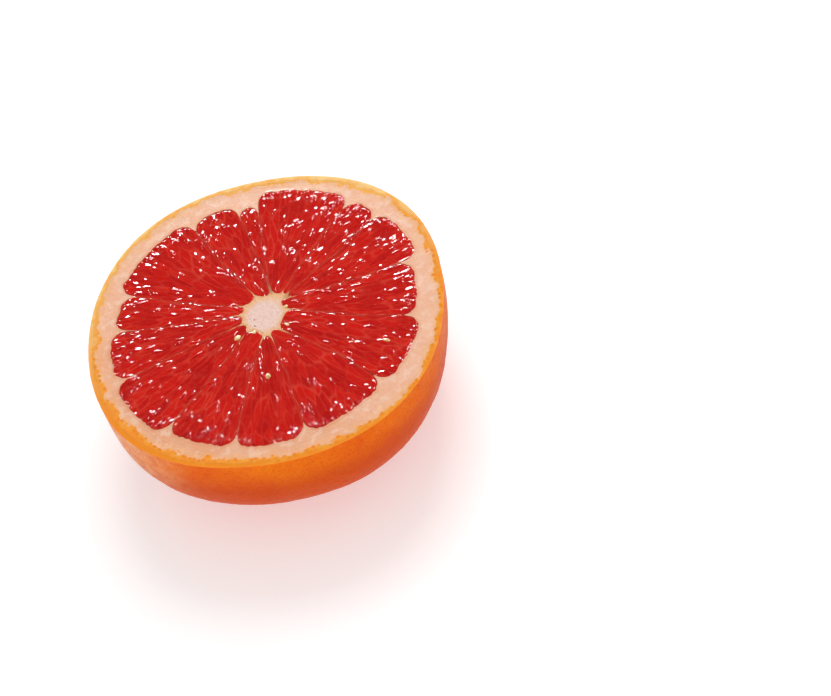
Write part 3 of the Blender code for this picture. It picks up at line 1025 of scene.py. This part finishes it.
def peel_finish(fruit_place, mottle, glands):
    """Waxy orange skin with oil glands, painted shade low down, a painted pale sheen on one side and
    the scar of the flower.
    """
    material, tree, shader = new_material("peel_skin", {
        "Roughness": 0.42, "Specular IOR Level": 0.03, "Coat Weight": 0.04, "Coat Roughness": 0.12,
        **scattered(0.08, (1.0, 0.3, 0.05), 0.002)})
    where = use_group(tree, fruit_place)
    place, height = where.outputs["Place"], where.outputs["Height"]
    blotch = patches(tree, mottle, place, 26.0, 2.6)
    fleck = patches(tree, mottle, place, 3.0, 1.6)
    skin = blend_colours(tree, blotch, seen(248, 122, 4), seen(234, 84, 0))
    skin = blend_colours(tree, scaled(tree, fleck, 0.3), skin, seen(250, 144, 16))
    # Painted shade: the skin turns a deeper orange low down, where the bowl's underside is in shade
    low = between(tree, height, -1.0, -15.0, 0.0, 0.8)
    skin = blend_colours(tree, low, skin, seen(204, 62, 0))
    # Painted sheen: a pale patch low on the left side stands in for the pale floor's reflection at the
    # grazing edge
    painted_sheen = scaled(tree, between(tree, part_of(tree, place, 0), -35.0, -53.0),
                   between(tree, height, -26.0, -8.0))
    painted_sheen = scaled(tree, painted_sheen, between(tree, fleck, 0.2, 0.8, 0.45, 1.0))
    skin = blend_colours(tree, painted_sheen, skin, seen(250, 176, 124))
    pores = use_group(tree, glands, {"Place": place, "Spacing": 0.98})
    dots = scaled(tree, pores.outputs["Dots"], 0.65)
    skin = blend_colours(tree, dots, skin, seen(242, 204, 188), "MULTIPLY")
    scar_middle = (POLE_SHIFT / MM, 0.0, -BOWL_DEPTH / MM)
    from_scar = on_arrows(tree, "DISTANCE", place, scar_middle, "Value")
    scar = between(tree, from_scar, 1.6, 2.7, 1.0, 0.0)
    skin = blend_colours(tree, scar, skin, seen(120, 84, 44))
    dress(tree, shader, skin, pores.outputs["Height"], 0.7, 0.15 * MM)
    return material


def cut_finish(name, fruit_place, mottle, cut_rind):
    """The moist cut through zest and pith, with fine fibres that run round the fruit."""
    material, tree, shader = new_material(name, {
        "Roughness": 0.5, "Specular IOR Level": 0.06, "Coat Weight": 0.12, "Coat Roughness": 0.08,
        **scattered(0.2, (1.0, 0.5, 0.3), 0.0025)})
    where = use_group(tree, fruit_place)
    place = where.outputs["Place"]
    cut = use_group(tree, cut_rind, {"Place": place, "Past Zest": read_number(tree, "past_zest")})
    if name == "pith":
        tree.links.new(read_number(tree, "from_pulp"), cut.inputs["From Pulp"])
    fibres = noise_near(tree, where.outputs["Rings"], 1.0, 3.0)
    grain = scaled(tree, patches(tree, mottle, place, 0.7, 1.5), 0.7)
    dress(tree, shader, cut.outputs["Colour"], added(tree, fibres, grain), 0.5, 0.3 * MM)
    return material


def core_finish(fruit_place, mottle):
    """Pale sponge, cream in the spikes of the star, with a few brown flecks on the left."""
    material, tree, shader = new_material("core_sponge", {
        "Roughness": 0.6, "Specular IOR Level": 0.1, "Coat Weight": 0.08, "Coat Roughness": 0.15,
        **scattered(0.3, (1.0, 0.6, 0.5), 0.002)})
    place = use_group(tree, fruit_place).outputs["Place"]
    patch = patches(tree, mottle, place, 1.4, 2.0)
    sponge = blend_colours(tree, patch, seen(250, 220, 207), seen(238, 197, 183))
    rim = between(tree, read_number(tree, "from_middle"), 0.66, 0.95, 0.0, 0.85)
    sponge = blend_colours(tree, rim, sponge, seen(248, 182, 118))
    fleck = between(tree, cells_at(tree, place, 0.55, 1.0), 0.12, 0.24, 0.75, 0.0)
    fleck = scaled(tree, fleck, between(tree, part_of(tree, place, 0), -1.0, -4.0))
    sponge = blend_colours(tree, fleck, sponge, seen(176, 96, 62))
    dress(tree, shader, sponge, patches(tree, mottle, place, 0.5, 2.0), 0.7, 0.3 * MM)
    return material


def membrane_finish(fruit_place, mottle):
    """A thin film: cream by the core, tinged by the juice further out, pale by the pith."""
    material, tree, shader = new_material("membrane_skin", {
        "Roughness": 0.45, "Specular IOR Level": 0.05, "Coat Weight": 0.1, "Coat Roughness": 0.1,
        **scattered(0.5, (1.0, 0.35, 0.25), 0.002)})
    where = use_group(tree, fruit_place)
    radius = where.outputs["Radius"]
    patch = patches(tree, mottle, where.outputs["Place"], 3.0, 2.4)
    film = blend_colours(tree, patch, seen(196, 24, 12), seen(224, 66, 46))
    film = blend_colours(tree, between(tree, radius, 7.5, 12.5, 1.0, 0.0), film, seen(250, 188, 134))
    film = blend_colours(tree, between(tree, radius, 38.0, 47.0, 0.0, 0.9), film, seen(244, 166, 130))
    dress(tree, shader, film, patch, 0.4, 0.4 * MM)
    return material


def pulp_finish(fruit_place, mottle):
    """Wet red juice sacs with paler edges and rays."""
    material, tree, shader = new_material("juicy_pulp", {
        "Roughness": 0.45, "Specular IOR Level": 0.0,
        "Coat Weight": 1.0, "Coat Roughness": 0.07, "Coat IOR": 1.45,
        **scattered(0.15, (1.0, 0.12, 0.08), 0.002)})
    where = use_group(tree, fruit_place)
    place = where.outputs["Place"]
    streak = noise_near(tree, where.outputs["Rays"], 1.0, 3.0, 0.6)
    patch = patches(tree, mottle, place, 9.0, 2.0)
    tone = scaled(tree, read_number(tree, "sac_tone"), 0.5)
    tone = added(tree, tone, scaled(tree, patch, 0.5))
    juice = blend_colours(tree, tone, seen(176, 3, 1), seen(217, 22, 8))
    ray = between(tree, streak, 0.46, 0.74, 0.0, 0.38)
    juice = blend_colours(tree, ray, juice, seen(222, 56, 34))
    edge = scaled(tree, read_number(tree, "sac_edge"), between(tree, patch, 0.35, 0.75, 0.1, 0.44))
    juice = blend_colours(tree, edge, juice, seen(224, 80, 60))
    wall = scaled(tree, read_number(tree, "near_wall"), 0.25)
    juice = blend_colours(tree, wall, juice, seen(214, 70, 50))
    drops = scaled(tree, patches(tree, mottle, place, 0.55, 1.0), 0.35)
    dress(tree, shader, juice, added(tree, drops, scaled(tree, streak, 0.6)), 0.2, 0.3 * MM)
    return material


def seed_finish(fruit_place, mottle):
    """A smooth cream coat with ochre patches."""
    material, tree, shader = new_material("seed_coat", {
        "Roughness": 0.3, "Coat Weight": 0.6, "Coat Roughness": 0.1,
        **scattered(0.3, (1.0, 0.7, 0.3), 0.001)})
    patch = patches(tree, mottle, use_group(tree, fruit_place).outputs["Place"], 1.0, 4.0)
    coat = blend_colours(tree, patch, seen(254, 230, 160), seen(224, 146, 62))
    tree.links.new(coat, shader.inputs["Base Color"])
    return material


# Room

def make_room():
    """A pale, slightly glossy floor that isn't part of the fruit, in a bright plain room."""
    deselect_all()
    bpy.ops.mesh.primitive_plane_add(size=FLOOR_SIZE)
    floor = bpy.context.object
    floor.name = "floor"
    material, _, _ = new_material("pale_floor", {
        "Base Color": (0.82, 0.82, 0.82, 1.0), "Roughness": 0.2, "Specular IOR Level": 0.5,
        "Emission Color": (1.0, 1.0, 1.0, 1.0), "Emission Strength": 0.38})
    floor.data.materials.append(material)
    world = bpy.data.worlds.new("room")
    bpy.context.scene.world = world
    world.use_nodes = True
    tree = world.node_tree
    mirrored = put(tree, "ShaderNodeLightPath").outputs["Is Glossy Ray"]
    strength = between(tree, mirrored, 0.0, 1.0, ROOM_LIGHT, ROOM_LIGHT_IN_GLOSS)
    connect(tree, tree.nodes["Background"], {"Color": (1.0, 1.0, 1.0, 1.0), "Strength": strength})


def make_soft_boxes():
    """Round soft boxes that point at the fruit. The glints come from small ones all round."""
    target = Vector((0.0, 0.0, RIM_MIDDLE.z))
    for name, direction, distance, size, power, use in SOFT_BOXES:
        data = bpy.data.lights.new(name, "AREA")
        data.shape = "DISK"
        data.size = size
        data.energy = power
        light = bpy.data.objects.new(name, data)
        bpy.context.scene.collection.objects.link(light)
        way = Vector(direction).normalized()
        light.location = target + way * distance
        light.rotation_euler = way.to_track_quat("Z", "Y").to_euler()
        light.visible_diffuse = use != "glint"
        light.visible_glossy = use != "light"


def make_camera():
    """The view of the photograph, onto the cut face."""
    data = bpy.data.cameras.new("camera")
    data.sensor_width = SENSOR_WIDTH
    data.lens = LENS
    camera = bpy.data.objects.new("camera", data)
    bpy.context.scene.collection.objects.link(camera)
    back = CAMERA_RIGHT.cross(CAMERA_UP)
    turn = Matrix((CAMERA_RIGHT, CAMERA_UP, back)).transposed().to_4x4()
    camera.matrix_world = Matrix.Translation(CAMERA_PLACE + RIM_MIDDLE) @ turn
    bpy.context.scene.camera = camera


def build():
    """Make every piece, then the room, the lights and the camera."""
    fruit_place, mottle, glands = group_fruit_place(), group_mottle(), group_oil_glands()
    cut_rind = group_cut_rind(mottle)
    segments = list_segments()
    make_peel(peel_finish(fruit_place, mottle, glands),
              cut_finish("peel_cut", fruit_place, mottle, cut_rind))
    make_pith(segments, cut_finish("pith", fruit_place, mottle, cut_rind))
    make_core(segments, core_finish(fruit_place, mottle))
    make_membranes(segments, membrane_finish(fruit_place, mottle))
    juicy_pulp = pulp_finish(fruit_place, mottle)
    chance = random.Random(5)
    for number, segment in enumerate(segments, start=1):
        make_pulp(segment, number, chance, juicy_pulp)
    make_seeds(seed_finish(fruit_place, mottle))
    make_room()
    make_soft_boxes()
    make_camera()
    bpy.context.scene.view_settings.view_transform = "Standard"


build()
